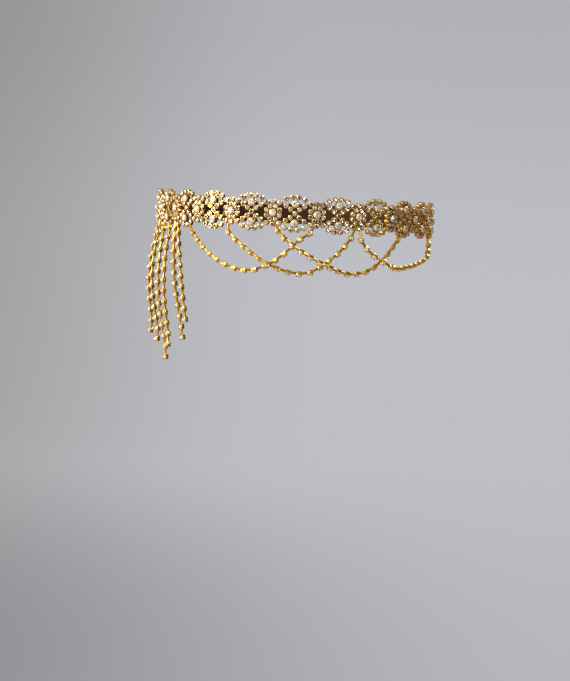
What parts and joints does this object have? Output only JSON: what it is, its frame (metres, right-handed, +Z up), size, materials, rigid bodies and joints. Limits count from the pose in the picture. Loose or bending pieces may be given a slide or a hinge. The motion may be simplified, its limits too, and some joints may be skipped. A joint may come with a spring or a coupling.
{
  "type": "flapper headband",
  "caption": "Openwork stone headband with overlapping swags of cup chain across the forehead, a side tassel of chain strands and a plain woven strap behind.",
  "frame": {"origin": "middle of the head loop at the trim's mid-height, where the band sits round a head", "axes": "+Z up, the front of the band faces -Y, the tassel hangs on the -X side (the wearer's right)"},
  "size_m": [0.165, 0.2018, 0.097],
  "materials": {
    "trim_metal": "bright gold plate, darker in the gaps between the cups",
    "cup_chain": "bright gold plate",
    "main_stone": "clear cut glass with a foiled back and a faint champagne tint",
    "chain_stone": "clear cut glass with a foiled back",
    "strap_weave": "ribbed woven elastic, matt"
  },
  "bodies": {
    "root": {"trim_section_1": "trim_metal", "trim_section_2": "trim_metal", "trim_section_3": "trim_metal", "trim_section_4": "trim_metal", "trim_section_5": "trim_metal", "trim_section_6": "trim_metal", "upper_stone_1": "main_stone", "upper_stone_2": "main_stone", "upper_stone_3": "main_stone", "upper_stone_4": "main_stone", "upper_stone_5": "main_stone", "upper_stone_6": "main_stone", "upper_stone_7": "main_stone", "upper_stone_8": "main_stone", "upper_stone_9": "main_stone", "upper_stone_10": "main_stone", "upper_stone_11": "main_stone", "upper_stone_12": "main_stone", "upper_stone_13": "main_stone", "lower_stone_1": "main_stone", "lower_stone_2": "main_stone", "lower_stone_3": "main_stone", "lower_stone_4": "main_stone", "lower_stone_5": "main_stone", "lower_stone_6": "main_stone", "lower_stone_7": "main_stone", "lower_stone_8": "main_stone", "lower_stone_9": "main_stone", "lower_stone_10": "main_stone", "lower_stone_11": "main_stone", "lower_stone_12": "main_stone", "lower_stone_13": "main_stone", "eye_stone_1": "main_stone", "eye_stone_2": "main_stone", "eye_stone_3": "main_stone", "eye_stone_4": "main_stone", "eye_stone_5": "main_stone", "eye_stone_6": "main_stone", "eye_stone_7": "main_stone", "eye_stone_8": "main_stone", "eye_stone_9": "main_stone", "eye_stone_10": "main_stone", "eye_stone_11": "main_stone", "eye_stone_12": "main_stone", "swag_1": "cup_chain", "swag_2": "cup_chain", "swag_3": "cup_chain", "swag_4": "cup_chain", "tassel_strand_1": "cup_chain", "tassel_strand_2": "cup_chain", "tassel_strand_3": "cup_chain", "tassel_strand_4": "cup_chain", "tassel_strand_5": "cup_chain", "tassel_strand_6": "cup_chain", "swag_stones": "chain_stone", "tassel_stones": "chain_stone", "strap": "strap_weave"}
  },
  "joints": []
}
